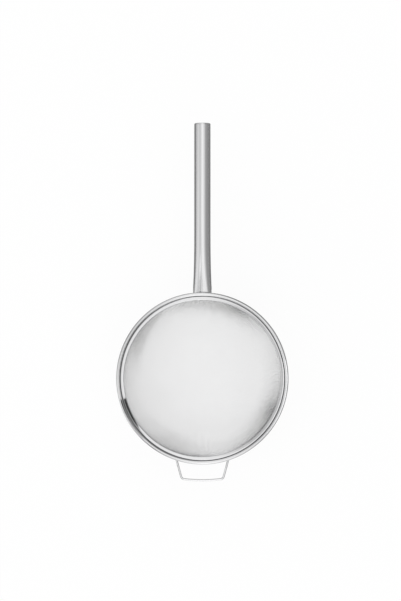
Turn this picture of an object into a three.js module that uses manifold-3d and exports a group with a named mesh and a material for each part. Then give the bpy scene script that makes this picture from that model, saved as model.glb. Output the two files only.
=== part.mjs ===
// Soup strainer: a woven steel bowl trapped between a beaded rim band and a clamp ring,
// with a tube handle whose root is pressed flat, and a bent wire rest opposite the handle.
// Millimetres. +Z is up out of the bowl's mouth, +Y runs along the handle,
// and the origin is under the middle of the bowl's flat floor.

import * as THREE from "three";
import { mergeVertices } from "three/addons/utils/BufferGeometryUtils.js";
import Module from "manifold-3d";

// Fit
const clearance = 0.3; // between pieces that lie against each other

// Rim
const rimRadius = 100; // outside of the bead
const bowlDepth = 80; // from the underside of the floor to the top of the bead
const bandSheet = 0.7; // sheet of the rim band
const bandHeight = 23; // top of the bead to the lower edge of the band
const beadWireDiameter = 2.4;
const curlEnd = -75; // degrees round the bead wire where the curled edge stops
const clampSheet = 0.8;
const clampHeight = 20; // top of the hem to the lower edge of the clamp ring
const clampHemRadius = 1.2; // outside of the hem's two bends
const clampHemWidth = 4.4; // across the flattened hem
const clampHemFall = 0.4; // drop of the hem from its outer bend to its inner one
const clampHemEnd = 240; // degrees round the inner bend where its edge stops
const clampDrop = 1; // top of the hem below the top of the bead

// Woven bowl
const clothThickness = 0.6; // two wires thick
const floorRadius = 70; // flat part of the floor
const wallRise = 26; // height at which the cloth turns upright
const openingsAcross = 10; // square openings across the floor
const barShare = 0.25; // part of the openings' pitch that stays as a bar
const floorOpeningsTop = 8; // height up the corner at which the floor's openings stop
const wallOpenings = 24; // openings round the wall
const wallOpeningRows = 2;
const wallOpeningsDrop = 2; // top of the wall's openings below the lower edge of the band

// Handle
const handleDiameter = 19;
const handleWall = 0.8;
const handleLength = 197.4; // outside of the bead to the free end of the handle
const rootWidth = 22.5; // width of the flattened root
const flareLength = 75; // length of the tube over which it flattens
const flarePower = 2.5; // how late along that length it flattens
const capThickness = 2;
const capEdgeRadius = 1.2;
const capSkirtLength = 6; // reach of the cap's skirt into the tube
const capSkirtWall = 0.8;
const handleWeldLeg = 2;
const handleWeldToe = 0.4; // thickness where the weld fades out on the tube

// Rest
const restWireDiameter = 2.5;
const restStandOff = 20.5; // outside of the bead to the outermost point of the rest
const restBow = 1.5; // how far the crossbar bows outward in the middle
const restCornerHalf = 24.1; // half-distance between the crossbar's corners
const restRootHalf = 30.7; // half-distance between the legs where they leave the band
const restBend = 3; // length of wire that each bend takes up on either side of its corner
const restTail = 24; // length of each tail along the band
const restWeldRadius = 0.9;
const restWeldLength = 10;

// Faceting
const turns = 64; // facets round the bowl axis
const tubeSides = 24;
const wireSides = 8;
const flareSteps = 8;
const bowlTurns = 48; // facets round the bowl
const bowlSteps = 6; // up the bowl's corner
const curlSteps = 8; // round the bead wire
const bendSteps = 2; // round the hem's outer bend
const hemSteps = 3; // round its inner bend
const capEdgeSteps = 5;
const restStep = 2.5; // length of one step along the rest
const weldSteps = 8;

// Places that follow from the sizes
const beadOuter = beadWireDiameter / 2 + clearance + bandSheet;
const beadRing = rimRadius - beadOuter; // radius of the circle that the bead wire follows
const beadHeight = bowlDepth - beadOuter;
const beadOverhang = clothThickness + clearance; // the bead leans in over the edge of the cloth
const bandInner = beadRing - beadOuter + beadOverhang;
const bandOuter = bandInner + bandSheet;
const bandBottom = bowlDepth - bandHeight;
const clothOuter = bandInner - clearance;
const clothTop = beadHeight - Math.sqrt(beadOuter ** 2 - (beadRing - clothOuter) ** 2) - clearance;
const clampOuter = clothOuter - clothThickness - clearance;
const clampTop = bowlDepth - clampDrop;
const weldSeat = bandOuter + clearance; // radius where what is welded to the band starts
const gripHeight = (bandBottom + beadHeight - beadOuter) / 2; // middle of the band's plain wall
const handleReach = rimRadius + handleLength; // bowl axis to the free end of the handle
const restReach = rimRadius + restStandOff; // bowl axis to the outermost point of the rest

const steel = {
  polished: { color: 0xc9cacb, roughness: 0.22, metalness: 1 },
  brushed: { color: 0xbfc0c1, roughness: 0.32, metalness: 1 },
  woven: { color: 0xb4b5b6, roughness: 0.4, metalness: 1 },
  welded: { color: 0xa6a4a1, roughness: 0.5, metalness: 1 },
};

const wasm = await Module();
wasm.setup();

const part = new THREE.Group();
part.name = "soup_strainer";

function addPiece(name, geometry, finish) {
  const mesh = new THREE.Mesh(geometry, new THREE.MeshStandardMaterial(finish));
  mesh.name = name;
  part.add(mesh);
}

// A closed triangle mesh as a solid that can be cut.
function toSolid(geometry) {
  const bare = geometry.clone();
  bare.deleteAttribute("normal");
  bare.deleteAttribute("uv");
  const merged = mergeVertices(bare, 1e-4);
  const corners = merged.index.array;
  const triangles = [];
  for (let i = 0; i < corners.length; i += 3) {
    const [a, b, c] = corners.slice(i, i + 3);
    if (a !== b && b !== c && c !== a) triangles.push(a, b, c);
  }
  return new wasm.Manifold(
    new wasm.Mesh({
      numProp: 3,
      vertProperties: merged.attributes.position.array,
      triVerts: new Uint32Array(triangles),
    }),
  );
}

function toGeometry(solid) {
  const mesh = solid.getMesh();
  const geometry = new THREE.BufferGeometry();
  geometry.setAttribute("position", new THREE.BufferAttribute(mesh.vertProperties, 3));
  geometry.setIndex(new THREE.BufferAttribute(mesh.triVerts, 1));
  return geometry.toNonIndexed();
}

function cut(geometry, tool) {
  return toGeometry(toSolid(geometry).subtract(toSolid(tool)));
}

// Points (radius, height) on an arc of an ellipse, from one angle to another in degrees.
function arc(centre, reach, from, to, steps) {
  return Array.from({ length: steps + 1 }, (_, i) => {
    const angle = THREE.MathUtils.degToRad(from + ((to - from) * i) / steps);
    return new THREE.Vector2(
      centre.x + reach.x * Math.cos(angle),
      centre.y + reach.y * Math.sin(angle),
    );
  });
}

function roundArc(centre, radius, from, to, steps) {
  return arc(centre, new THREE.Vector2(radius, radius), from, to, steps);
}

// A profile (radius, height) turned round +Z.
function turned(profile, facets = turns) {
  return new THREE.LatheGeometry(profile, facets).rotateX(Math.PI / 2);
}

// Rings of equally many points joined into a closed skin that returns to its first ring.
function loftedRing(rings) {
  const count = rings[0].length;
  const index = [];
  for (let i = 0; i < rings.length; i++) {
    const here = i * count;
    const next = ((i + 1) % rings.length) * count;
    for (let j = 0; j < count; j++) {
      const k = (j + 1) % count;
      index.push(here + j, next + j, next + k);
      index.push(here + j, next + k, here + k);
    }
  }
  const geometry = new THREE.BufferGeometry().setFromPoints(rings.flat());
  geometry.setIndex(index);
  return geometry.toNonIndexed();
}

// Angle in degrees at which a circle round the bead wire, on its lower left, is at a distance from the axis.
function curlStart(radius, distance) {
  return 360 - THREE.MathUtils.radToDeg(Math.acos((distance - beadRing) / radius));
}

// Rim band: plain wall that runs up, leans in over the edge of the cloth and curls out round the bead wire.
function rimBand() {
  const centre = new THREE.Vector2(beadRing, beadHeight);
  const innerCurl = beadOuter - bandSheet;
  const outside = roundArc(centre, beadOuter, curlStart(beadOuter, bandInner), curlEnd, curlSteps);
  const inside = roundArc(centre, innerCurl, curlEnd, curlStart(innerCurl, bandOuter), curlSteps);
  const profile = [
    new THREE.Vector2(bandInner, bandBottom),
    ...outside,
    ...inside,
    new THREE.Vector2(bandOuter, bandBottom),
  ];
  profile.push(profile[0].clone());
  return turned(profile.reverse());
}

// Bead wire: the ring that the band's edge is curled round.
function beadWire() {
  const ring = new THREE.TorusGeometry(beadRing, beadWireDiameter / 2, wireSides, turns);
  return ring.translate(0, 0, beadHeight);
}

// Clamp ring: upright wall inside the cloth, bent inward to a flat hem whose edge is curled under.
function clampRing() {
  const height = clampTop - clampHemRadius;
  const outerBend = new THREE.Vector2(clampOuter - clampHemRadius, height);
  const innerBend = new THREE.Vector2(clampOuter - clampHemWidth + clampHemRadius, height - clampHemFall);
  const bottom = clampTop - clampHeight;
  const lean = 90 + THREE.MathUtils.radToDeg(Math.atan2(clampHemFall, outerBend.x - innerBend.x));
  const profile = [
    new THREE.Vector2(clampOuter, bottom),
    ...roundArc(outerBend, clampHemRadius, 0, lean, bendSteps),
    ...roundArc(innerBend, clampHemRadius, lean, clampHemEnd, hemSteps),
    ...roundArc(innerBend, clampHemRadius - clampSheet, clampHemEnd, lean, hemSteps),
    ...roundArc(outerBend, clampHemRadius - clampSheet, lean, 0, bendSteps),
    new THREE.Vector2(clampOuter - clampSheet, bottom),
  ];
  profile.push(profile[0].clone());
  return turned(profile);
}

// Distance from the axis at which the outside of the cloth is at a height below its upright edge.
function clothRadius(height) {
  return floorRadius + (clothOuter - floorRadius) * Math.sqrt(1 - (1 - height / wallRise) ** 2);
}

// Square openings straight up through the floor and the foot of its corner.
function floorOpenings() {
  const reach = clothRadius(floorOpeningsTop);
  const pitch = (2 * reach) / openingsAcross;
  const side = pitch * (1 - barShare);
  const places = Array.from({ length: openingsAcross }, (_, i) => (i - (openingsAcross - 1) / 2) * pitch);
  const cells = places
    .flatMap((x) => places.map((y) => new THREE.Vector2(x, y)))
    .filter((cell) => cell.length() < reach)
    .map((cell) => toSolid(new THREE.BoxGeometry(side, side, 2 * wallRise).translate(cell.x, cell.y, 0)));
  const limit = new THREE.CylinderGeometry(reach, reach, 2 * wallRise, bowlTurns).rotateX(Math.PI / 2);
  return wasm.Manifold.union(cells).intersect(toSolid(limit));
}

// Rows of upright openings through the wall, from above the floor's openings to below the band.
function wallRowOpenings() {
  const reach = clothRadius(floorOpeningsTop);
  const bar = ((2 * reach) / openingsAcross) * barShare;
  const bottom = floorOpeningsTop + bar;
  const rise = (bandBottom - wallOpeningsDrop - bottom + bar) / wallOpeningRows;
  const width = ((2 * Math.PI * clothOuter) / wallOpenings) * (1 - barShare);
  const cells = [];
  for (let row = 0; row < wallOpeningRows; row++) {
    const middle = bottom + rise * row + (rise - bar) / 2;
    for (let i = 0; i < wallOpenings; i++) {
      const cell = new THREE.BoxGeometry(2 * (clothOuter - reach), width, rise - bar);
      cell.translate(clothOuter, 0, middle).rotateZ(((i + 0.5) / wallOpenings) * 2 * Math.PI);
      cells.push(toSolid(cell));
    }
  }
  return wasm.Manifold.union(cells);
}

// Woven bowl: flat floor, a quarter of an ellipse up to the rim, and the upright edge that is trapped there.
// A plain grid of large openings stands for the fine ones of the cloth.
function meshBowl() {
  const centre = new THREE.Vector2(floorRadius, wallRise);
  const outerReach = new THREE.Vector2(clothOuter - floorRadius, wallRise);
  const innerReach = outerReach.clone().subScalar(clothThickness);
  const sheet = [
    new THREE.Vector2(0, 0),
    ...arc(centre, outerReach, -90, 0, bowlSteps),
    new THREE.Vector2(clothOuter, clothTop),
    new THREE.Vector2(clothOuter - clothThickness, clothTop),
    ...arc(centre, innerReach, 0, -90, bowlSteps),
    new THREE.Vector2(0, clothThickness),
  ];
  const bowl = toSolid(turned(sheet, bowlTurns));
  return toGeometry(bowl.subtract(floorOpenings()).subtract(wallRowOpenings()));
}

// Width of the handle at a distance from the bowl axis.
function handleWidth(y) {
  const along = THREE.MathUtils.clamp((y - weldSeat) / flareLength, 0, 1);
  return handleDiameter + (rootWidth - handleDiameter) * (1 - along) ** flarePower;
}

// Section of the handle: a round tube squeezed flat keeps its girth,
// so it becomes two half-circles with a flat between them.
function handleSection(y, grow) {
  const girth = Math.PI * handleDiameter;
  const width = handleWidth(y);
  const radius = (girth - 2 * width) / (2 * Math.PI - 4);
  const halfFlat = width / 2 - radius;
  return Array.from({ length: tubeSides }, (_, i) => {
    const angle = ((i + 0.5) / tubeSides) * 2 * Math.PI;
    const across = Math.sign(Math.cos(angle)) * halfFlat + (radius + grow) * Math.cos(angle);
    return new THREE.Vector3(across, y, gripHeight + (radius + grow) * Math.sin(angle));
  });
}

// The band's outside with its clearance, which copes what is welded to it.
function bandCutter() {
  return new THREE.CylinderGeometry(weldSeat, weldSeat, 2 * bowlDepth, turns)
    .rotateX(Math.PI / 2)
    .translate(0, 0, gripHeight);
}

// Distances from the bowl axis at which the handle's section is set, dense where it flattens.
function flareStations() {
  return Array.from({ length: flareSteps + 1 }, (_, i) => weldSeat + flareLength * (i / flareSteps));
}

// How far inside the seat a coped piece starts before it is cut.
function copeDepth() {
  return weldSeat - Math.sqrt(weldSeat ** 2 - (rootWidth / 2 + handleWeldLeg + clearance) ** 2) + 1;
}

function handleTube() {
  const end = handleReach - capThickness - clearance;
  const stations = [weldSeat - copeDepth(), ...flareStations(), end];
  const outside = stations.map((y) => handleSection(y, 0));
  const inside = stations.toReversed().map((y) => handleSection(y, -handleWall));
  return cut(loftedRing([...outside, ...inside]), bandCutter());
}

// End cap: rounded disc with a skirt that slides into the tube.
function handleEndCap() {
  const radius = handleDiameter / 2;
  const skirt = radius - handleWall - clearance;
  const corner = new THREE.Vector2(radius - capEdgeRadius, capThickness - capEdgeRadius);
  const profile = [
    new THREE.Vector2(0, 0),
    new THREE.Vector2(skirt - capSkirtWall, 0),
    new THREE.Vector2(skirt - capSkirtWall, -capSkirtLength),
    new THREE.Vector2(skirt, -capSkirtLength),
    new THREE.Vector2(skirt, 0),
    new THREE.Vector2(radius, 0),
    ...roundArc(corner, capEdgeRadius, 0, 90, capEdgeSteps),
    new THREE.Vector2(0, capThickness),
  ];
  return new THREE.LatheGeometry(profile, tubeSides).translate(0, handleReach - capThickness, gripHeight);
}

// Weld round the handle's root: thick at the band, fading out along the tube.
function handleWeld() {
  const stations = [weldSeat - copeDepth(), weldSeat, weldSeat + handleWeldLeg];
  const reach = [handleWeldLeg, handleWeldLeg, handleWeldToe];
  const outside = stations.map((y, i) => handleSection(y, clearance + reach[i]));
  const inside = stations.toReversed().map((y) => handleSection(y, clearance));
  return cut(loftedRing([...outside, ...inside]), bandCutter());
}

// Point on a circle round the bowl axis, by its angle from -Y towards +X.
function round(radius, angle, height) {
  return new THREE.Vector3(radius * Math.sin(angle), -radius * Math.cos(angle), height);
}

// An arc round the bowl axis as a curve.
class RimArc extends THREE.Curve {
  constructor(radius, from, to, height) {
    super();
    Object.assign(this, { radius, from, to, height });
  }
  getPoint(t) {
    return round(this.radius, THREE.MathUtils.lerp(this.from, this.to, t), this.height);
  }
}

function wireAlong(path, diameter, steps) {
  const section = new THREE.Shape();
  for (let i = 0; i < wireSides; i++) {
    const angle = ((i + 0.5) / wireSides) * 2 * Math.PI;
    const x = (diameter / 2) * Math.cos(angle);
    const y = (diameter / 2) * Math.sin(angle);
    if (i === 0) section.moveTo(x, y);
    else section.lineTo(x, y);
  }
  section.closePath();
  return new THREE.ExtrudeGeometry(section, { steps, extrudePath: path, bevelEnabled: false });
}

const tailRing = weldSeat + restWireDiameter / 2; // circle that the rest's tails follow
const rootAngle = Math.asin(restRootHalf / tailRing);
const bendAngle = restBend / tailRing;
const tailAngle = rootAngle + bendAngle + restTail / tailRing;

// The rest from one tail to the other: arc, bend, leg, bend, bowed crossbar, and the same mirrored.
function restPath() {
  const path = new THREE.CurvePath();
  const middle = -(restReach - restWireDiameter / 2);
  const corner = new THREE.Vector3(restCornerHalf, middle + restBow, gripHeight);
  const root = round(tailRing, rootAngle, gripHeight);
  const leg = corner.clone().sub(root).normalize();
  const tailEnd = round(tailRing, rootAngle + bendAngle, gripHeight);
  const legStart = root.clone().addScaledVector(leg, restBend);
  const legEnd = corner.clone().addScaledVector(leg, -restBend);
  const peak = new THREE.Vector3(0, middle - restBow, gripHeight);
  const barWay = peak.clone().sub(corner).normalize();
  const barStart = corner.clone().addScaledVector(barWay, restBend);
  const mirror = (v) => new THREE.Vector3(-v.x, v.y, v.z);
  path.add(new RimArc(tailRing, tailAngle, rootAngle + bendAngle, gripHeight));
  path.add(new THREE.QuadraticBezierCurve3(tailEnd, root, legStart));
  path.add(new THREE.LineCurve3(legStart, legEnd));
  path.add(new THREE.QuadraticBezierCurve3(legEnd, corner, barStart));
  path.add(new THREE.QuadraticBezierCurve3(barStart, peak, mirror(barStart)));
  path.add(new THREE.QuadraticBezierCurve3(mirror(barStart), mirror(corner), mirror(legEnd)));
  path.add(new THREE.LineCurve3(mirror(legEnd), mirror(legStart)));
  path.add(new THREE.QuadraticBezierCurve3(mirror(legStart), mirror(root), mirror(tailEnd)));
  path.add(new RimArc(tailRing, -rootAngle - bendAngle, -tailAngle, gripHeight));
  return path;
}

function restWire() {
  const path = restPath();
  return wireAlong(path, restWireDiameter, Math.round(path.getLength() / restStep));
}

// Weld bead under a tail, in the corner between the wire and the band.
function restWeld(side) {
  const ring = weldSeat + restWeldRadius;
  const reach = restWireDiameter / 2 + clearance + restWeldRadius;
  const height = gripHeight - Math.sqrt(reach ** 2 - (tailRing - ring) ** 2);
  const middle = (rootAngle + bendAngle + tailAngle) / 2;
  const half = restWeldLength / 2 / ring;
  const path = new RimArc(ring, side * (middle - half), side * (middle + half), height);
  return wireAlong(path, 2 * restWeldRadius, weldSteps);
}

addPiece("rim_band", rimBand(), steel.polished);
addPiece("bead_wire", beadWire(), steel.polished);
addPiece("clamp_ring", clampRing(), steel.polished);
addPiece("mesh_bowl", meshBowl(), steel.woven);
addPiece("handle_tube", handleTube(), steel.brushed);
addPiece("handle_end_cap", handleEndCap(), steel.brushed);
addPiece("handle_weld", handleWeld(), steel.welded);
addPiece("rest_wire", restWire(), steel.polished);
addPiece("rest_weld_left", restWeld(-1), steel.welded);
addPiece("rest_weld_right", restWeld(1), steel.welded);

export default part;
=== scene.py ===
import math
import bpy
import numpy as np
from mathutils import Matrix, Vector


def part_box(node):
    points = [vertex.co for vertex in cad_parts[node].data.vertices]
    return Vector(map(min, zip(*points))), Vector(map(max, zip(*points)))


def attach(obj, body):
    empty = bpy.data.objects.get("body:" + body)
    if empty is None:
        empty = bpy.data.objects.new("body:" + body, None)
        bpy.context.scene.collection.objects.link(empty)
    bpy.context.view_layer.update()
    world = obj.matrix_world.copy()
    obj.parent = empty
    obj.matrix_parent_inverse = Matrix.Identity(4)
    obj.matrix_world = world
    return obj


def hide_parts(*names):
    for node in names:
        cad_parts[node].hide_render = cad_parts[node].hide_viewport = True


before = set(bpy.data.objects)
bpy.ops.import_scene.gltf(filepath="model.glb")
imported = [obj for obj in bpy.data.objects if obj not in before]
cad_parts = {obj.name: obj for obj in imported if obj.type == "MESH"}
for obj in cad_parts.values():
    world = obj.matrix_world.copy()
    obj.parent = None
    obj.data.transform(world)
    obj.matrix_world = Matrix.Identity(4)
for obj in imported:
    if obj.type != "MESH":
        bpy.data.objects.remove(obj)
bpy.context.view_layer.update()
mm = 0.001
print("frame loaded:", sorted(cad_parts))

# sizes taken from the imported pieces, in metres
bandLow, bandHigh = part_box("rim_band")
clampLow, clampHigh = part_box("clamp_ring")
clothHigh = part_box("mesh_bowl")[1]
capLow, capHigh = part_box("handle_end_cap")
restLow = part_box("rest_wire")[0]
rimRadius, rimTop = bandHigh.x, bandHigh.z
gripHeight = (capLow.z + capHigh.z) / 2
gap = 0.3 * mm  # clearance between neighbours


# mesh helpers

def gridFaces(rows, cols, closeRows=False, closeCols=True):
    # quads between neighbouring rows and columns of a grid of points, numbered row by row
    i = np.arange(rows if closeRows else rows - 1)
    j = np.arange(cols if closeCols else cols - 1)
    a, b = np.meshgrid(i, j, indexing="ij")
    nextRow, nextCol = (a + 1) % rows, (b + 1) % cols
    quads = [a * cols + b, a * cols + nextCol, nextRow * cols + nextCol, nextRow * cols + b]
    return np.stack(quads, -1).reshape(-1, 4)


def putMesh(name, points, quads, material, caps=(), sharpDegrees=40, flip=False):
    # points and four-cornered faces as arrays, caps as extra rings of point numbers;
    # flip turns every face round
    if flip:
        quads, caps = quads[:, ::-1], [ring[::-1] for ring in caps]
    loops = np.concatenate([quads.ravel(), *caps])
    corners = np.array([4] * len(quads) + [len(ring) for ring in caps])
    mesh = bpy.data.meshes.new(name)
    mesh.vertices.add(len(points))
    mesh.vertices.foreach_set("co", np.ascontiguousarray(points, dtype=np.float32).ravel())
    mesh.loops.add(len(loops))
    mesh.loops.foreach_set("vertex_index", loops.astype(np.int32))
    mesh.polygons.add(len(corners))
    mesh.polygons.foreach_set("loop_start", (np.cumsum(corners) - corners).astype(np.int32))
    mesh.update(calc_edges=True)
    mesh.validate()
    mesh.shade_smooth()
    if sharpDegrees:
        mesh.set_sharp_from_angle(angle=math.radians(sharpDegrees))
    mesh.materials.append(material)
    piece = bpy.data.objects.new(name, mesh)
    bpy.context.scene.collection.objects.link(piece)
    return piece


def joinToFrame(piece, slotName, *nodes):
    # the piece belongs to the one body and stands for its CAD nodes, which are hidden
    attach(piece, "root")
    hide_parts(*nodes)
    return piece


def unit(vectors):
    # the same directions with a length of one
    return vectors / np.linalg.norm(vectors, axis=-1, keepdims=True)


def circleArc(centre, radius, fromDegrees, toDegrees, steps):
    # points on a circle round a centre in the plane of an outline, at even angles from one to the other
    a = np.radians(np.linspace(fromDegrees, toDegrees, steps))
    return np.stack([centre[0] + radius * np.cos(a), centre[1] + radius * np.sin(a)], -1)


def sheetProfile(line, thickness, endSteps=7):
    # outline of a bent sheet: its middle line moved half the thickness to each side,
    # with a half-circle at each end
    way = unit(np.gradient(line, axis=0))
    side = np.stack([-way[:, 1], way[:, 0]], -1)
    half = thickness / 2
    turn = np.linspace(0, np.pi, endSteps)[1:-1, None]
    lastEnd = line[-1] + half * (np.cos(turn) * side[-1] + np.sin(turn) * way[-1])
    firstEnd = line[0] + half * (-np.cos(turn) * side[0] - np.sin(turn) * way[0])
    return np.concatenate([line + half * side, lastEnd, (line - half * side)[::-1], firstEnd])


def turnedPiece(name, profile, steps, material):
    # a closed outline (radius, height) carried once round the Z axis;
    # the sign of its area tells which way it runs
    r, z = profile.T
    a = np.linspace(0, 2 * np.pi, steps, endpoint=False)[:, None]
    points = np.stack([r * np.cos(a), r * np.sin(a), z + 0 * a], -1)
    area = np.sum(r * np.roll(z, -1) - np.roll(r, -1) * z)
    quads = gridFaces(steps, len(profile), closeRows=True)
    return putMesh(name, points.reshape(-1, 3), quads, material, flip=area > 0)


def tubeAlong(name, line, radii, sides, material):
    # a round section carried along a line that lies in a level plane, closed by a flat face at each end
    way = unit(np.gradient(line, axis=0))
    side = np.stack([-way[:, 1], way[:, 0], np.zeros(len(way))], -1)
    up = np.array([0.0, 0.0, 1.0])
    a = np.linspace(0, 2 * np.pi, sides, endpoint=False)[None, :, None]
    points = line[:, None] + radii[:, None, None] * (np.cos(a) * side[:, None] + np.sin(a) * up)
    last = (len(line) - 1) * sides
    caps = [np.arange(sides)[::-1], np.arange(last, last + sides)]
    return putMesh(name, points.reshape(-1, 3), gridFaces(len(line), sides), material, caps)


# finishes: each look has its colours, its noises as (scale, detail), its range of roughness
# and its bump as (strength, distance)

def link(tree, a, b):
    tree.links.new(a, b)


def startMaterial(name, metallic=1.0):
    material = bpy.data.materials.new(name)
    material.use_nodes = True
    tree = material.node_tree
    shader = tree.nodes["Principled BSDF"]
    shader.inputs["Metallic"].default_value = metallic
    return material, tree, shader


def ramped(tree, value, low, high, fromLow=0.3, fromHigh=0.7):
    # a value carried straight from one range to another, by default from the range that noise mostly fills
    node = tree.nodes.new("ShaderNodeMapRange")
    node.inputs["From Min"].default_value = fromLow
    node.inputs["From Max"].default_value = fromHigh
    node.inputs["To Min"].default_value = low
    node.inputs["To Max"].default_value = high
    link(tree, value, node.inputs["Value"])
    return node.outputs["Result"]


def noiseOf(tree, vector, scale, detail):
    node = tree.nodes.new("ShaderNodeTexNoise")
    node.inputs["Scale"].default_value = scale
    node.inputs["Detail"].default_value = detail
    link(tree, vector, node.inputs["Vector"])
    return node.outputs["Fac"]


def tinted(tree, value, dark, light):
    node = tree.nodes.new("ShaderNodeMix")
    node.data_type = "RGBA"
    node.inputs["A"].default_value = (*dark, 1)
    node.inputs["B"].default_value = (*light, 1)
    link(tree, value, node.inputs["Factor"])
    return node.outputs["Result"]


def bumped(tree, shader, height, strength, distance):
    node = tree.nodes.new("ShaderNodeBump")
    node.inputs["Strength"].default_value = strength
    node.inputs["Distance"].default_value = distance
    link(tree, height, node.inputs["Height"])
    link(tree, node.outputs["Normal"], shader.inputs["Normal"])


def mathStep(tree, operation, *values):
    # one step of arithmetic on sockets or plain numbers
    node = tree.nodes.new("ShaderNodeMath")
    node.operation = operation
    for value, socket in zip(values, node.inputs):
        if isinstance(value, (int, float)):
            socket.default_value = value
        else:
            link(tree, value, socket)
    return node.outputs[0]


def stretched(tree, vector, scale):
    node = tree.nodes.new("ShaderNodeMapping")
    node.inputs["Scale"].default_value = scale
    link(tree, vector, node.inputs["Vector"])
    return node.outputs["Vector"]


def objectPlace(tree):
    return tree.nodes.new("ShaderNodeTexCoord").outputs["Object"]


def splitUp(tree, vector):
    # the X, Y and Z of a vector
    node = tree.nodes.new("ShaderNodeSeparateXYZ")
    link(tree, vector, node.inputs[0])
    return node.outputs


def roundPlace(tree):
    # (distance from the Z axis, nothing, height): lines of equal value run round the rim
    x, y, z = splitUp(tree, objectPlace(tree))
    squares = mathStep(tree, "MULTIPLY_ADD", x, x, mathStep(tree, "MULTIPLY", y, y))
    joined = tree.nodes.new("ShaderNodeCombineXYZ")
    link(tree, mathStep(tree, "SQRT", squares), joined.inputs["X"])
    link(tree, z, joined.inputs["Z"])
    return joined.outputs[0]


def rimSteel():
    # polished sheet: faint lines round the rim from the polishing wheel, soft cloudy wear
    look = {"dark": (0.52, 0.52, 0.525), "light": (0.6, 0.6, 0.605), "lines": (2600, 2), "clouds": (45, 4),
            "rough": (0.09, 0.17), "bump": (0.05, 0.02 * mm)}
    material, tree, shader = startMaterial("rimSteel")
    lines = noiseOf(tree, roundPlace(tree), *look["lines"])
    clouds = noiseOf(tree, objectPlace(tree), *look["clouds"])
    link(tree, tinted(tree, clouds, look["dark"], look["light"]), shader.inputs["Base Color"])
    link(tree, ramped(tree, clouds, *look["rough"]), shader.inputs["Roughness"])
    bumped(tree, shader, lines, *look["bump"])
    return material


def handleSteel():
    # satin tube: fine grinding lines along its length, with a few coarser ones
    look = {"dark": (0.5, 0.5, 0.505), "light": (0.6, 0.6, 0.605), "across": 1400, "along": 9,
            "lines": (1, 3), "clouds": (30, 3), "rough": (0.12, 0.18), "bump": (0.08, 0.03 * mm)}
    material, tree, shader = startMaterial("handleSteel")
    place = objectPlace(tree)
    drawnOut = stretched(tree, place, (look["across"], look["along"], look["across"]))
    lines = noiseOf(tree, drawnOut, *look["lines"])
    clouds = noiseOf(tree, place, *look["clouds"])
    link(tree, tinted(tree, lines, look["dark"], look["light"]), shader.inputs["Base Color"])
    link(tree, ramped(tree, clouds, *look["rough"]), shader.inputs["Roughness"])
    bumped(tree, shader, lines, *look["bump"])
    return material


def wireSteel():
    # bright drawn wire: small drawing marks and cloudy dulling
    look = {"dark": (0.57, 0.57, 0.575), "light": (0.67, 0.67, 0.675), "marks": (900, 3),
            "rough": (0.14, 0.24), "bump": (0.06, 0.02 * mm)}
    material, tree, shader = startMaterial("wireSteel")
    marks = noiseOf(tree, objectPlace(tree), *look["marks"])
    link(tree, tinted(tree, marks, look["dark"], look["light"]), shader.inputs["Base Color"])
    link(tree, ramped(tree, marks, *look["rough"]), shader.inputs["Roughness"])
    bumped(tree, shader, marks, *look["bump"])
    return material


def wovenSteel():
    # cloth wire: slightly uneven, and darkened with painted shade, which its own attribute gives
    look = {"dark": (0.66, 0.66, 0.665), "light": (0.74, 0.74, 0.745), "paintedDark": (0.22, 0.22, 0.222),
            "clouds": (60, 4), "rough": (0.15, 0.24)}
    material, tree, shader = startMaterial("wovenSteel")
    clouds = noiseOf(tree, objectPlace(tree), *look["clouds"])
    # the attribute holds the painted shade, which mixes the colour towards the dark one
    paintedShade = tree.nodes.new("ShaderNodeAttribute")
    paintedShade.attribute_name = "paintedShade"
    colour = tinted(tree, paintedShade.outputs["Fac"], look["dark"], look["paintedDark"])
    link(tree, tinted(tree, clouds, look["dark"], look["light"]), colour.node.inputs["A"])
    link(tree, colour, shader.inputs["Base Color"])
    link(tree, ramped(tree, clouds, *look["rough"]), shader.inputs["Roughness"])
    return material


def weldSteel():
    # weld metal: grainy, dull, with a trace of straw colour left by the heat
    look = {"dark": (0.34, 0.33, 0.32), "light": (0.52, 0.5, 0.47), "grain": (1500, 4), "clouds": (300, 3),
            "rough": (0.35, 0.55), "bump": (0.25, 0.05 * mm)}
    material, tree, shader = startMaterial("weldSteel")
    place = objectPlace(tree)
    grain = noiseOf(tree, place, *look["grain"])
    clouds = noiseOf(tree, place, *look["clouds"])
    link(tree, tinted(tree, clouds, look["dark"], look["light"]), shader.inputs["Base Color"])
    link(tree, ramped(tree, grain, *look["rough"]), shader.inputs["Roughness"])
    bumped(tree, shader, grain, *look["bump"])
    return material


finish = {"rim": rimSteel(), "handle": handleSteel(), "wire": wireSteel(), "woven": wovenSteel(),
          "weld": weldSteel()}
print("finishes made:", len(finish))


# rim: outer band with its bead, bead wire, clamp ring

rim = {"sheet": 0.7 * mm, "beadWire": 2.4 * mm, "overhang": 0.9 * mm, "curlEnd": -75, "steps": 480,
       "wallSteps": 12, "curlSteps": 44, "wireSides": 24}
beadOuter = rim["beadWire"] / 2 + gap + rim["sheet"]
beadRing = rimRadius - beadOuter
beadCentre = (beadRing, rimTop - beadOuter)
bandInner = beadRing - beadOuter + rim["overhang"]
bandOuter = bandInner + rim["sheet"]
weldSeat = bandOuter + gap


def rimBand():
    # middle line of the strip: up the wall, inward over the edge of the cloth, then out round the bead wire
    half = rim["sheet"] / 2
    middle, radius = bandInner + half, beadOuter - half
    start = 360 - math.degrees(math.acos((middle - beadRing) / radius))
    curl = circleArc(beadCentre, radius, start, rim["curlEnd"], rim["curlSteps"])
    wall = np.linspace((middle, bandLow.z + half), (middle, curl[0, 1]), rim["wallSteps"])
    profile = sheetProfile(np.concatenate([wall, curl[1:]]), rim["sheet"])
    piece = turnedPiece("rim_band_steel", profile, rim["steps"], finish["rim"])
    return joinToFrame(piece, "rim_steel", "rim_band")


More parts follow.
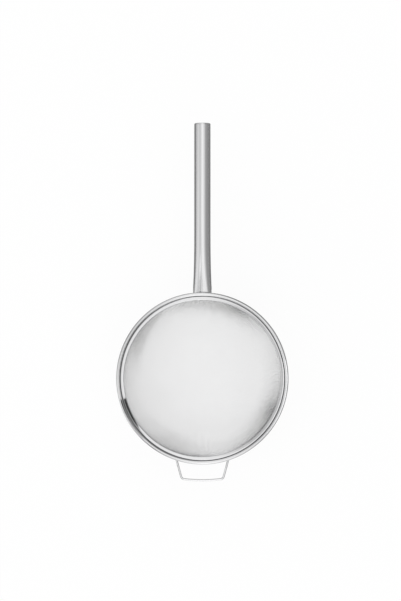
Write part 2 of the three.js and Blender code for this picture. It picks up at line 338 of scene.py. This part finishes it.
def beadWire():
    # a round section carried round the rim, inside the curl
    lastCorner = 360 - 360 / rim["wireSides"]
    section = circleArc(beadCentre, rim["beadWire"] / 2, 0, lastCorner, rim["wireSides"])
    piece = turnedPiece("bead_wire_steel", section, rim["steps"], finish["wire"])
    return joinToFrame(piece, "wire_steel", "bead_wire")


clamp = {"sheet": 0.8 * mm, "hemRadius": 1.2 * mm, "hemWidth": 4.4 * mm, "hemFall": 0.4 * mm, "hemEnd": 240,
         "wallSteps": 12, "bendSteps": 14, "hemSteps": 22, "flatSteps": 6}


def clampRing():
    # middle line of the inner strip: up its wall, inward along the flat hem, round its inner bend and under
    outer, bend, half = clampHigh.x, clamp["hemRadius"], clamp["sheet"] / 2
    height = clampHigh.z - bend
    lean = 90 + math.degrees(math.atan2(clamp["hemFall"], clamp["hemWidth"] - 2 * bend))
    wall = np.linspace((outer - half, clampLow.z + half), (outer - half, height), clamp["wallSteps"])
    outerBend = circleArc((outer - bend, height), bend - half, 0, lean, clamp["bendSteps"])
    inner = (outer - clamp["hemWidth"] + bend, height - clamp["hemFall"])
    innerBend = circleArc(inner, bend - half, lean, clamp["hemEnd"], clamp["hemSteps"])
    flat = np.linspace(outerBend[-1], innerBend[0], clamp["flatSteps"])[1:-1]
    profile = sheetProfile(np.concatenate([wall, outerBend[1:], flat, innerBend]), clamp["sheet"])
    piece = turnedPiece("clamp_ring_steel", profile, rim["steps"], finish["rim"])
    return joinToFrame(piece, "rim_steel", "clamp_ring")


rimBand()
beadWire()
clampRing()
print("rim made")


# woven bowl

cloth = {"pitch": 1.25 * mm, "wire": 0.30 * mm, "floorRadius": 70 * mm, "rise": 26 * mm, "turn": 18.0,
         "sides": 4, "fatter": 1.16, "cornerSteps": 2000, "mapFill": 0.9}
# the search for a knot: its rounds, and the most that one round moves it, along the profile and, in radians,
# round the bowl
search = {"rounds": 10, "mostSlide": 0.5 * mm, "mostTurn": 0.02}
# the cloth closes up round the corner, more on the right: four distances past the floor's edge say where
# this starts, is full, begins to fade and ends
drawing = {"start": -2 * mm, "full": 22 * mm, "fade": 30 * mm, "end": 60 * mm, "closing": 0.38,
           "uneven": 0.55}
# soft waves in the wall: they are full from a distance past the floor's edge, and fade between two distances
# below the cloth's edge; two waves run round the bowl as (count, start in radians), the slow one also up it
ripple = {"height": 0.35 * mm, "full": 40 * mm, "fade": 42 * mm, "end": 22 * mm, "slow": (2, 0.6),
          "quick": (5, 1.9), "upright": 9 * mm}
# patches of painted shade on the cloth near the rim, each as: angle and spread round the bowl in degrees,
# distance past the floor's edge and spread along the profile in millimetres, lean in millimetres per degree,
# strength
shadeMarks = {"marks": [(78, 26, 27, 15, 0, 2.1), (102, 12, 18, 6, 0, 0.45), (141, 20, 20.5, 6.5, -0.35, 2.0),
                    (243, 16, 10, 6, 0, 0.35), (321, 22, 27, 15, 0, 1.0)],
          "shadeHaze": 0.1, "shadeHazeAngle": 222}


def bowlProfile():
    # middle surface of the cloth, as radius and height by arc length: a flat floor, a quarter of an ellipse,
    # an upright edge
    low, rise, flat = cloth["wire"], cloth["rise"], cloth["floorRadius"]
    outer = clothHigh.x - cloth["wire"]
    past = 8 * mm  # the march runs a little past the edge before it is trimmed
    turn = np.linspace(0, np.pi / 2, cloth["cornerSteps"] + 1)
    r = np.concatenate([[0], flat + (outer - flat) * np.sin(turn), [outer]])
    z = np.concatenate([[low], rise - (rise - low) * np.cos(turn), [clothHigh.z + past]])
    s = np.concatenate([[0], np.cumsum(np.hypot(np.diff(r), np.diff(z)))])
    return s, r, z, s[-1] - past


def onBowl(profile, s, angle):
    # point, its rates of change along the arc and round the bowl, and the normal that faces into the bowl
    arc, radius, height, _ = profile
    step = 0.05 * mm
    r, z = np.interp(s, arc, radius), np.interp(s, arc, height)
    dr = (np.interp(s + step, arc, radius) - np.interp(s - step, arc, radius)) / (2 * step)
    dz = (np.interp(s + step, arc, height) - np.interp(s - step, arc, height)) / (2 * step)
    dr = np.where(s < step, 1.0, dr)
    c, n = np.cos(angle), np.sin(angle)
    place = np.stack([r * c, r * n, z], -1)
    alongArc = np.stack([dr * c, dr * n, dz], -1)
    aroundBowl = np.stack([-r * n, r * c, np.zeros_like(r)], -1)
    normal = np.stack([-dz * c, -dz * n, dr], -1)
    return place, alongArc, aroundBowl, normal


def nextKnots(profile, a, b, back, pitch):
    # knots that lie on the bowl one pitch from each of two neighbours: starting at the far corner of a
    # parallelogram, each round moves a knot by what its two misses and their slopes call for
    placeA, placeB = onBowl(profile, *a)[0], onBowl(profile, *b)[0]
    guess = placeA + placeB - onBowl(profile, *back)[0]
    s, angle = a[0] + b[0] - back[0], np.arctan2(guess[:, 1], guess[:, 0])
    slide, turn = search["mostSlide"], search["mostTurn"]
    for _ in range(search["rounds"]):
        place, alongArc, aroundBowl, _ = onBowl(profile, s, angle)
        fromA, fromB = place - placeA, place - placeB
        missA = (fromA ** 2).sum(-1) - pitch ** 2
        missB = (fromB ** 2).sum(-1) - pitch ** 2
        sA, sB = 2 * (fromA * alongArc).sum(-1), 2 * (fromB * alongArc).sum(-1)
        turnA, turnB = 2 * (fromA * aroundBowl).sum(-1), 2 * (fromB * aroundBowl).sum(-1)
        spread = sA * turnB - turnA * sB
        s = s + np.clip((-missA * turnB + missB * turnA) / spread, -slide, slide)
        angle = angle + np.clip((-missB * sA + missA * sB) / spread, -turn, turn)
    return s, angle


def quarterNet():
    # a quarter of the cloth as a net of equal cells that shear as it is drawn,
    # marched out from the middle, diagonal by diagonal
    profile = bowlProfile()
    pitch, edge = cloth["pitch"], profile[3]
    spare = 2  # rows marched past the edge of the cloth
    count = int(edge / pitch) + spare
    s, angle = np.full((count, count), np.nan), np.full((count, count), np.nan)
    s[:, 0] = s[0, :] = np.arange(count) * pitch
    angle[:, 0], angle[0, 1:] = 0, np.pi / 2
    for diagonal in range(2, 2 * count - 1):
        i = np.arange(max(1, diagonal - count + 1), min(count - 1, diagonal - 1) + 1)
        i = i[np.isfinite(s[i - 1, diagonal - i]) & np.isfinite(s[i, diagonal - i - 1])]
        j = diagonal - i
        if not len(i):
            break
        a, b, back = [(s[k], angle[k]) for k in ((i - 1, j), (i, j - 1), (i - 1, j - 1))]
        s[i, j], angle[i, j] = nextKnots(profile, a, b, back, pitch)
        far = s[i, j] > edge + spare * pitch
        s[i[far], j[far]] = np.nan
    inside = np.isfinite(s) & (s <= edge)
    s, angle = np.where(inside, s, 0), np.where(inside, angle, 0)
    place, _, _, normal = onBowl(profile, s, angle)
    # the last two are distances along the profile, past the floor's edge and up to the cloth's edge
    return place, normal, inside, s - cloth["floorRadius"], edge - s


def turnedBy(points, angle):
    # points turned round the Z axis, each by its own angle
    c, n = np.cos(angle), np.sin(angle)
    x, y, z = points[..., 0], points[..., 1], points[..., 2]
    return np.stack([x * c - y * n, x * n + y * c, z], -1)


def rising(value, start, full):
    # nothing before the start, one when full, and a straight climb between them
    return np.clip((value - start) / (full - start), 0, 1)


def paintedShadeOn(bearing, past, outward):
    # painted shade: each mark is a bell curve round the bowl times another along its profile, whose middle
    # may lean with the angle; a faint painted shade lies on one side, from halfway out on the floor
    angle, spread, reach, width, lean, strength = np.array(shadeMarks["marks"]).T
    away = (np.degrees(bearing)[..., None] - angle + 180) % 360 - 180
    off = past[..., None] / mm - reach - lean * away
    marks = np.exp(-(away / spread) ** 2 - (off / width) ** 2) @ strength
    # a faint, broad painted shade that darkens one side of the floor
    shadeHaze = shadeMarks["shadeHaze"] * (1 + np.cos(bearing - math.radians(shadeMarks["shadeHazeAngle"])))
    return marks + shadeHaze * rising(outward, cloth["floorRadius"] / 2, cloth["floorRadius"])


def wholeNet():
    # the quarter mirrored into the other three, as one grid with the middle knot in its middle
    place, normal, inside, past, left = quarterNet()
    steps = np.arange(-(len(place) - 1), len(place))
    i, j = np.meshgrid(np.abs(steps), np.abs(steps), indexing="ij")
    sign = np.where(steps < 0, -1, 1)
    flipX, flipY = np.meshgrid(sign, sign, indexing="ij")
    flip = np.stack([flipX, flipY, np.ones_like(flipX)], -1)
    over = (i + j) % 2 * 2 - 1
    return place[i, j] * flip, normal[i, j] * flip, inside[i, j], past[i, j], left[i, j], over


def drawnNet():
    place, normal, inside, past, left, over = wholeNet()
    # the knots crowd towards the diagonals round the corner, by the sine of four times their angle,
    # and the cloth turns to its place in the rim
    drawn = rising(past, drawing["start"], drawing["full"]) * rising(past, drawing["end"], drawing["fade"])
    angle, turn = np.arctan2(place[..., 1], place[..., 0]), math.radians(cloth["turn"])
    closing = drawing["closing"] * (1 + drawing["uneven"] * np.cos(angle + turn))
    spin = turn + drawn * closing / 4 * np.sin(4 * angle)
    place, normal = turnedBy(place, spin), turnedBy(normal, spin)
    # soft unevenness left by the drawing, on the wall only
    bearing = np.arctan2(place[..., 1], place[..., 0])
    bulge = rising(past, 0, ripple["full"]) * rising(left, ripple["end"], ripple["fade"])
    slow, quick = [np.sin(count * bearing + start) for count, start in (ripple["slow"], ripple["quick"])]
    wave = slow * np.cos(place[..., 2] / ripple["upright"]) + quick
    place = place + normal * (bulge * wave * ripple["height"])[..., None]
    # the last value is the painted shade at each knot, for the cloth's colour
    return place, normal, inside, over, paintedShadeOn(bearing, past, np.hypot(place[..., 0], place[..., 1]))


def wireWay(place, ahead, behind):
    # direction of each wire at its knots: between both neighbours, or at an end to or from the only one
    way = np.gradient(place, axis=1)
    way = np.where((ahead & ~behind)[..., None], np.roll(place, -1, 1) - place, way)
    way = np.where((behind & ~ahead)[..., None], place - np.roll(place, 1, 1), way)
    length = np.linalg.norm(way, axis=-1, keepdims=True)
    return way / np.where(length > 0, length, 1)


def layOut(piece, both, endCorners):
    # a map for the bake that lays each side of each wire in its own thin row, and the ends in one corner
    sides, wires, columns = cloth["sides"], len(both), both.shape[1] + 1
    row, step = np.nonzero(both)
    u = (step[:, None] + np.array([0, 0, 1, 1])) / columns
    across = np.arange(sides)[:, None] + cloth["mapFill"] * np.array([0, 1, 1, 0])
    v = (row[:, None, None] * sides + across) / (wires * sides)
    spots = np.stack(np.broadcast_arrays(u[:, None], v), -1).reshape(-1, 2)
    layer = piece.data.uv_layers.new(name="OFBake")
    spots = np.concatenate([spots, np.zeros((endCorners, 2))])
    layer.uv.foreach_set("vector", spots.astype(np.float32).ravel())


def clothWires(name, place, normal, inside, over, paintedShade):
    # wires along the second axis of the grid: at each knot the wire passes half its thickness over or under,
    # and a small polygon stands round it, in line with the wire and the normal of the cloth
    half, sides = cloth["wire"] / 2, cloth["sides"]
    ahead, behind = np.roll(inside, -1, 1), np.roll(inside, 1, 1)
    side = np.cross(wireWay(place, ahead, behind), normal)
    middle = place + normal * (over * half)[..., None]
    k = np.arange(sides)
    a = (k + 0.5) / sides * 2 * np.pi
    ring = np.cos(a)[:, None] * normal[..., None, :] + np.sin(a)[:, None] * side[..., None, :]
    points = (middle[..., None, :] + half * cloth["fatter"] * ring)[inside]
    # each polygon is numbered by its first point and joined to the next on its wire, and ends are closed
    number = np.full(inside.shape, -1)
    number[inside] = np.arange(inside.sum()) * sides
    both = inside[:, :-1] & inside[:, 1:]
    here, there = number[:, :-1][both][:, None], number[:, 1:][both][:, None]
    nextK = (k + 1) % sides
    quads = np.stack([here + k, here + nextK, there + nextK, there + k], -1).reshape(-1, 4)
    ends = [*number[inside & ~behind][:, None] + k[::-1], *number[inside & ~ahead][:, None] + k]
    piece = putMesh(name, points.reshape(-1, 3), quads, finish["woven"], ends, sharpDegrees=0)
    # the painted shade goes on the points as an attribute that the cloth's material reads
    marks = piece.data.attributes.new("paintedShade", "FLOAT", "POINT")
    marks.data.foreach_set("value", np.repeat(paintedShade[inside], sides).astype(np.float32))
    layOut(piece, both, len(ends) * sides)
    return joinToFrame(piece, "woven_steel", "mesh_bowl")


def wovenBowl():
    # warp and weft, each in two halves so that no piece is too heavy
    place, normal, inside, over, paintedShade = drawnNet()
    nets = {"warp": (place, normal, inside, over, paintedShade),
            "weft": [np.swapaxes(part, 0, 1) for part in (place, normal, inside, -over, paintedShade)]}
    middle = len(place) // 2
    for letter, wires in {"a": slice(middle), "b": slice(middle, None)}.items():
        for kind, net in nets.items():
            clothWires("cloth_" + kind + "_" + letter, *[part[wires] for part in net])


wovenBowl()
print("cloth woven")


# handle: tube, end cap, weld

handle = {"diameter": 19 * mm, "wall": 0.8 * mm, "rootWidth": 22.5 * mm, "flare": 75 * mm, "flarePower": 2.5,
          "copePower": 8, "sides": 144, "steps": 120, "crowding": 1.4, "seam": 0.06 * mm}
crease = {"x": -2.0 * mm, "half": 0.8 * mm, "depth": 0.65 * mm, "reach": 36 * mm}
cap = {"edge": 1.2 * mm, "thickness": 2.0 * mm, "skirt": 6 * mm, "middle": 0.3 * mm, "edgeSteps": 12,
       "crownSteps": 10}


def handleSection(y, grow, angle):
    # a round tube squeezed flat keeps its girth: two half-circles with a flat between them; each point keeps
    # its distance round the girth, so a quarter goes first round its half-circle and then along the flat
    along = rising(y, weldSeat, weldSeat + handle["flare"])
    widening = handle["rootWidth"] - handle["diameter"]
    width = handle["diameter"] + widening * (1 - along) ** handle["flarePower"]
    radius = (np.pi * handle["diameter"] - 2 * width) / (2 * np.pi - 4)
    passed = np.arcsin(np.abs(np.sin(angle))) * handle["diameter"] / 2
    turned = np.minimum(passed / radius, np.pi / 2)
    slide = width / 2 - radius - np.maximum(passed - radius * np.pi / 2, 0)
    x = np.sign(np.cos(angle)) * (slide + (radius + grow) * np.cos(turned))
    return x, gripHeight + np.sign(np.sin(angle)) * (radius + grow) * np.sin(turned)


def handleTube():
    # the section carried from the band to the cap as an outer and an inner wall, with its rings crowded
    # towards the root
    end = capHigh.y - cap["thickness"] - handle["seam"]
    angle = (np.arange(handle["sides"]) + 0.5) / handle["sides"] * 2 * np.pi
    share = np.linspace(0, 1, handle["steps"])[:, None] ** handle["crowding"]
    y = weldSeat + (end - weldSeat) * share

    def wall(grow):
        x, z = handleSection(y, grow, angle)
        sag = weldSeat - np.sqrt(weldSeat ** 2 - x ** 2)  # the root follows the round band
        # the press left one shallow crease on top, a bell curve across that dies out away from the root
        dent = np.exp(-((x - crease["x"]) / crease["half"]) ** 2 - ((y - weldSeat) / crease["reach"]) ** 2)
        depth = crease["depth"] * dent * (np.sin(angle) > 0)
        return np.stack([x, y - sag * (1 - share) ** handle["copePower"], z - depth], -1)

    points = np.concatenate([wall(0), wall(-handle["wall"])[::-1]])
    quads = gridFaces(len(points), handle["sides"], closeRows=True)
    piece = putMesh("handle_tube_steel", points.reshape(-1, 3), quads, finish["handle"], flip=True)
    return joinToFrame(piece, "handle_steel", "handle_tube")


def handleCap():
    # outline of the pressed cup (radius, distance along the handle), turned round the handle's axis
    radius, edge, thick = handle["diameter"] / 2, cap["edge"], cap["thickness"]
    middle, deep = cap["middle"], -cap["skirt"]
    skirt = radius - handle["wall"] - gap
    inside = skirt - handle["wall"]
    skirtLine = [(middle, 0), (inside, 0), (inside, deep), (skirt, deep), (skirt, 0), (radius, 0)]
    corner = circleArc((radius - edge, thick - edge), edge, 0, 90, cap["edgeSteps"])
    crown = np.linspace((radius - edge, thick), (middle, thick), cap["crownSteps"])[1:]
    outline = np.concatenate([skirtLine, corner, crown])
    out, along = outline.T
    a = np.linspace(0, 2 * np.pi, handle["sides"], endpoint=False)[:, None]
    points = np.stack([out * np.cos(a), capHigh.y - thick + along + 0 * a, gripHeight + out * np.sin(a)], -1)
    quads = gridFaces(handle["sides"], len(outline), closeRows=True, closeCols=False)
    inner = np.arange(handle["sides"]) * len(outline)
    caps = [inner, (inner + len(outline) - 1)[::-1]]
    piece = putMesh("handle_cap_steel", points.reshape(-1, 3), quads, finish["handle"], caps)
    return joinToFrame(piece, "handle_steel", "handle_end_cap")


weld = {"bead": 1.35 * mm, "lift": 0.35 * mm, "ripples": 46, "ripple": 0.07, "steps": 460, "sides": 14}


def handleWeld():
    # a rippled bead in the corner between the tube's root and the band
    a = np.linspace(0, 2 * np.pi, weld["steps"], endpoint=False)[:, None]
    x, z = handleSection(np.array([[weldSeat]]), weld["lift"], a)
    outward = np.stack([np.cos(a), 0 * a, np.sin(a)], -1)
    centre = np.stack([x, np.sqrt(weldSeat ** 2 - x ** 2) + weld["lift"], z], -1)
    radius = weld["bead"] * (1 + weld["ripple"] * np.sin(weld["ripples"] * a))[..., None]
    b = np.linspace(0, 2 * np.pi, weld["sides"], endpoint=False)[None, :, None]
    points = centre + radius * (np.cos(b) * outward + np.sin(b) * np.array([0.0, 1.0, 0.0]))
    quads = gridFaces(weld["steps"], weld["sides"], closeRows=True)
    piece = putMesh("handle_weld_bead", points.reshape(-1, 3), quads, finish["weld"], sharpDegrees=0)
    return joinToFrame(piece, "weld_steel", "handle_weld")


handleTube()
handleCap()
handleWeld()
print("handle made")


# wire rest and its welds

rest = {"wire": 2.5 * mm, "bow": 1.5 * mm, "cornerHalf": 24.1 * mm, "rootHalf": 30.7 * mm, "bend": 3 * mm,
        "tail": 24 * mm, "tailSteps": 60, "spacing": 0.5 * mm, "sides": 20}
restBead = {"length": 10 * mm, "radius": 0.95 * mm, "out": 0.5, "under": 0.55, "ripples": 34, "ripple": 0.08,
            "leastEnd": 0.1, "steps": 90, "sides": 14}
tailRing = weldSeat + rest["wire"] / 2
rootAngle = math.asin(rest["rootHalf"] / tailRing)
tailStart = rootAngle + rest["bend"] / tailRing
tailAngle = tailStart + rest["tail"] / tailRing


def ringPoint(radius, angle):
    # point on a circle round the bowl's axis, by its angle from -Y towards +X
    height = np.full(np.shape(angle), gripHeight)
    return np.stack([radius * np.sin(angle), -radius * np.cos(angle), height], -1)


def curved(a, b, c, steps=40):
    # from a to c, drawn towards b: a square-law blend of the three points
    t = np.linspace(0, 1, steps)[:, None]
    return (1 - t) ** 2 * a + 2 * t * (1 - t) * b + t ** 2 * c


def evenly(line, spacing, doubled=1e-9):
    # the same line with its points set at equal distances, after doubled points are dropped
    s = np.concatenate([[0], np.cumsum(np.linalg.norm(np.diff(line, axis=0), axis=1))])
    keep = np.concatenate([[True], np.diff(s) > doubled])
    at = np.linspace(0, s[-1], int(s[-1] / spacing) + 1)
    return np.stack([np.interp(at, s[keep], line[keep, k]) for k in range(3)], -1)


def roundEnds(count, spacing, radius, least=0.12):
    # radius along a wire whose ends are rounded over as quarter-circles, down to a small flat
    along = np.minimum(np.arange(count), np.arange(count)[::-1]) * spacing
    depth = np.clip(1 - along / radius, 0, 1)
    return radius * np.maximum(np.sqrt(1 - depth ** 2), least)


def restWire():
    # right half from the tail to the middle of the crossbar, then its mirror
    middle = restLow.y + rest["wire"] / 2
    corner = np.array([rest["cornerHalf"], middle + rest["bow"], gripHeight])
    peak = np.array([0, middle - rest["bow"], gripHeight])
    root = ringPoint(tailRing, rootAngle)
    leg, bar = unit(corner - root) * rest["bend"], unit(peak - corner) * rest["bend"]
    barStart = corner + bar
    tail = ringPoint(tailRing, np.linspace(tailAngle, tailStart, rest["tailSteps"]))
    half = np.concatenate([tail, curved(tail[-1], root, root + leg), curved(corner - leg, corner, barStart)])
    flip = np.array([-1, 1, 1])
    line = np.concatenate([half, curved(barStart, peak, barStart * flip), (half * flip)[::-1]])
    line = evenly(line, rest["spacing"])
    radii = roundEnds(len(line), rest["spacing"], rest["wire"] / 2)
    piece = tubeAlong("rest_wire_steel", line, radii, rest["sides"], finish["wire"])
    return joinToFrame(piece, "wire_steel", "rest_wire")


def restWeld(label, side):
    # a short rippled bead along the underside of a tail; its radius falls off to the ends by a fourth power
    radius = restBead["radius"]
    ring = weldSeat + restBead["out"] * radius
    middle = (tailStart + tailAngle) / 2
    t = np.linspace(-1, 1, restBead["steps"])
    line = ringPoint(ring, side * (middle + t * restBead["length"] / 2 / ring))
    line[:, 2] -= rest["wire"] / 2 + restBead["under"] * radius
    ripples = 1 + restBead["ripple"] * np.sin(restBead["ripples"] * t)
    radii = radius * np.maximum(np.sqrt(1 - t ** 4), restBead["leastEnd"]) * ripples
    piece = tubeAlong("rest_weld_bead_" + label, line, radii, restBead["sides"], finish["weld"])
    return joinToFrame(piece, "weld_steel", "rest_weld_" + label)


restWire()
restWeld("left", -1)
restWeld("right", 1)
print("rest made")


# camera straight above, at the photograph's frame of 401 by 601 pixels

view = {"pixelsHigh": 601, "focalPixels": 1724, "above": 2000 * mm, "x": -2.2 * mm, "y": 90.5 * mm,
        "sensor": 36, "near": 0.05, "far": 20}


def addCamera():
    data = bpy.data.cameras.new("camera")
    data.sensor_fit = "AUTO"
    data.sensor_width = view["sensor"]
    data.lens = view["focalPixels"] / view["pixelsHigh"] * view["sensor"]
    data.clip_start, data.clip_end = view["near"], view["far"]
    camera = bpy.data.objects.new("camera", data)
    camera.location = (view["x"], view["y"], rimTop + view["above"])
    bpy.context.scene.collection.objects.link(camera)
    bpy.context.scene.camera = camera


# studio: a white floor, cards that show in the steel, and light from all round

floor = {"size": 16.0, "drop": 0.4 * mm, "colour": 0.9, "glow": 0.92}


def plane(name, corners, material):
    # one flat face that belongs to the stage, not to the object
    mesh = bpy.data.meshes.new(name)
    mesh.from_pydata(corners, [], [range(len(corners))])
    mesh.materials.append(material)
    card = bpy.data.objects.new(name, mesh)
    bpy.context.scene.collection.objects.link(card)
    return card


def rectangle(xs, ys, height):
    # corners of a level plane from its ends along X and Y
    return [(xs[i], ys[j], height) for i, j in ((0, 0), (1, 0), (1, 1), (0, 1))]


def floorMaterial():
    # pale floor that the camera and mirrors see as near white, with the object's shadow left in it
    material = bpy.data.materials.new("floorWhite")
    material.use_nodes = True
    tree = material.node_tree
    tree.nodes.remove(tree.nodes["Principled BSDF"])
    path = tree.nodes.new("ShaderNodeLightPath")
    seen = mathStep(tree, "MAXIMUM", path.outputs["Is Camera Ray"], path.outputs["Is Glossy Ray"])
    seen = mathStep(tree, "MAXIMUM", seen, path.outputs["Is Transmission Ray"])
    share = mathStep(tree, "MULTIPLY", seen, floor["glow"])
    paint = tree.nodes.new("ShaderNodeBsdfDiffuse")
    paint.inputs["Color"].default_value = (*[floor["colour"]] * 3, 1)
    glow = tree.nodes.new("ShaderNodeEmission")
    mix = tree.nodes.new("ShaderNodeMixShader")
    link(tree, share, mix.inputs[0])
    link(tree, paint.outputs[0], mix.inputs[1])
    link(tree, glow.outputs[0], mix.inputs[2])
    link(tree, mix.outputs[0], tree.nodes["Material Output"].inputs["Surface"])
    return material


def addFloor():
    ends = (-floor["size"] / 2, floor["size"] / 2)
    plane("floor", rectangle(ends, ends, -floor["drop"]), floorMaterial())


# cards that show in polished steel and nowhere else, in metres

sideCards = {"tone": 0.34, "near": 0.02, "bowl": 0.104, "from": -0.15, "step": 0.105, "to": 0.45,
             "height": 1 * mm, "far": {"left": 0.45, "right": 1.6}}
# one lights the bead on the right, one darkens a leg of the rest, and two high up tone the hem opposite
levelCards = {"bead": {"tone": 0.9, "glow": 1.1, "x": (0.122, 0.21), "y": (-0.12, 0.03), "z": 0.14},
              "leg": {"tone": 0.04, "glow": 0.0, "x": (-0.35, -0.09), "y": (-0.23, -0.13), "z": 0.13},
              "hemRight": {"tone": 0.0, "glow": 0.8, "x": (-0.14, -0.02), "y": (-0.09, 0.075), "z": 0.48},
              "hemLeft": {"tone": 0.0, "glow": 1.4, "x": (0.02, 0.13), "y": (-0.1, 0.02), "z": 0.48}}
# a dark flag over one stretch of the rim, between two angles in degrees
flag = {"tone": 0.05, "height": 0.102, "from": 195, "fromInner": 0.077, "fromOuter": 0.116,
        "to": 226, "toInner": 0.093, "toOuter": 0.099}


def reflectedCard(name, corners, tone, glow=0.0, roughness=0.9):
    # a card that is hidden from the camera, throws no shadow and lights nothing but mirrors
    material, _, shader = startMaterial(name, metallic=0.0)
    shader.inputs["Base Color"].default_value = (tone, tone, tone, 1)
    shader.inputs["Roughness"].default_value = roughness
    shader.inputs["Emission Color"].default_value = (1, 1, 1, 1)
    shader.inputs["Emission Strength"].default_value = glow
    card = plane(name, corners, material)
    for kind in ("camera", "diffuse", "shadow", "transmission", "volume_scatter"):
        setattr(card, "visible_" + kind, False)


def sideCard(label, side):
    # a grey card on the floor along one side of the handle, cut back round the bowl
    size = {**sideCards, "far": sideCards["far"][label]}
    outline = [("bowl", "from"), ("far", "from"), ("far", "to"), ("near", "to"), ("near", "step"),
               ("bowl", "step")]
    corners = [(side * size[x], size[y], size["height"]) for x, y in outline]
    reflectedCard("side_card_" + label, corners[::side], size["tone"])


def addCards():
    sideCard("left", -1)
    sideCard("right", 1)
    for name, card in levelCards.items():
        corners = rectangle(card["x"], card["y"], card["z"])
        reflectedCard("card_" + name, corners, card["tone"], card["glow"])
    a, b = math.radians(flag["from"]), math.radians(flag["to"])
    edges = [(a, "fromOuter"), (b, "toOuter"), (b, "toInner"), (a, "fromInner")]
    corners = [(flag[r] * math.cos(angle), flag[r] * math.sin(angle), flag["height"]) for angle, r in edges]
    reflectedCard("flag", corners, flag["tone"])


# world light: a long tent over the handle, by the angle from overhead towards +X, times a level by the angle
# towards +Y that is strongest at the near side, with four soft boxes low down and darker gaps between them

light = {"tent": [(-100, 0.95), (-75, 1.11), (-58, 1.25), (-42, 1.09), (-30, 1.07), (-21, 1.12), (-11, 1.53),
                  (4, 1.55), (16, 1.37), (30, 1.02), (45, 0.61), (61, 0.46), (78, 0.41), (100, 0.36)],
         "along": [(-90, 1.35), (-60, 1.15), (-30, 0.92), (0, 1.0), (30, 0.9), (60, 0.75), (90, 0.7)],
         "boxTurn": 17.0, "boxShare": 0.45}


def byAngle(tree, side, up, stops):
    # a level that changes smoothly with the angle from overhead towards one side, between stops in degrees
    first, last = math.radians(stops[0][0]), math.radians(stops[-1][0])
    ramp = tree.nodes.new("ShaderNodeValToRGB")
    ramp.color_ramp.interpolation = "EASE"
    points = ramp.color_ramp.elements
    while len(points) < len(stops):
        points.new(0.5)  # its place is set below
    for point, (degrees, level) in zip(points, stops):
        point.position = (math.radians(degrees) - first) / (last - first)
        point.color = (level, level, level, 1)
    link(tree, ramped(tree, mathStep(tree, "ARCTAN2", side, up), 0, 1, first, last), ramp.inputs[0])
    return ramp.outputs[0]


def softBoxes(tree, way):
    # for a direction (x, y, z) turned to the boxes, (x2 + y2) squared less 8 x2 y2 is 1 at a box and -1 at a
    # gap, both at the horizon, and dies out overhead
    turned = tree.nodes.new("ShaderNodeVectorRotate")
    turned.rotation_type = "Z_AXIS"
    turned.inputs["Angle"].default_value = -math.radians(light["boxTurn"])
    link(tree, way, turned.inputs["Vector"])
    x, y, _ = splitUp(tree, turned.outputs[0])
    xSquare, ySquare = [mathStep(tree, "MULTIPLY", side, side) for side in (x, y)]
    both = mathStep(tree, "ADD", xSquare, ySquare)
    gaps = mathStep(tree, "MULTIPLY", mathStep(tree, "MULTIPLY", xSquare, ySquare), -8.0)
    fourfold = mathStep(tree, "MULTIPLY_ADD", both, both, gaps)
    return mathStep(tree, "MULTIPLY_ADD", fourfold, light["boxShare"], 1.0)


def addWorld():
    world = bpy.data.worlds.new("studio")
    bpy.context.scene.world = world
    world.use_nodes = True
    tree = world.node_tree
    way = tree.nodes.new("ShaderNodeTexCoord").outputs["Generated"]
    x, y, z = splitUp(tree, way)
    background = tree.nodes["Background"]
    link(tree, byAngle(tree, x, z, light["tent"]), background.inputs["Color"])
    strength = mathStep(tree, "MULTIPLY", byAngle(tree, y, z, light["along"]), softBoxes(tree, way))
    link(tree, strength, background.inputs["Strength"])


addCamera()
addFloor()
addCards()
addWorld()
bpy.context.scene.view_settings.view_transform = "Standard"
print("studio and camera set")
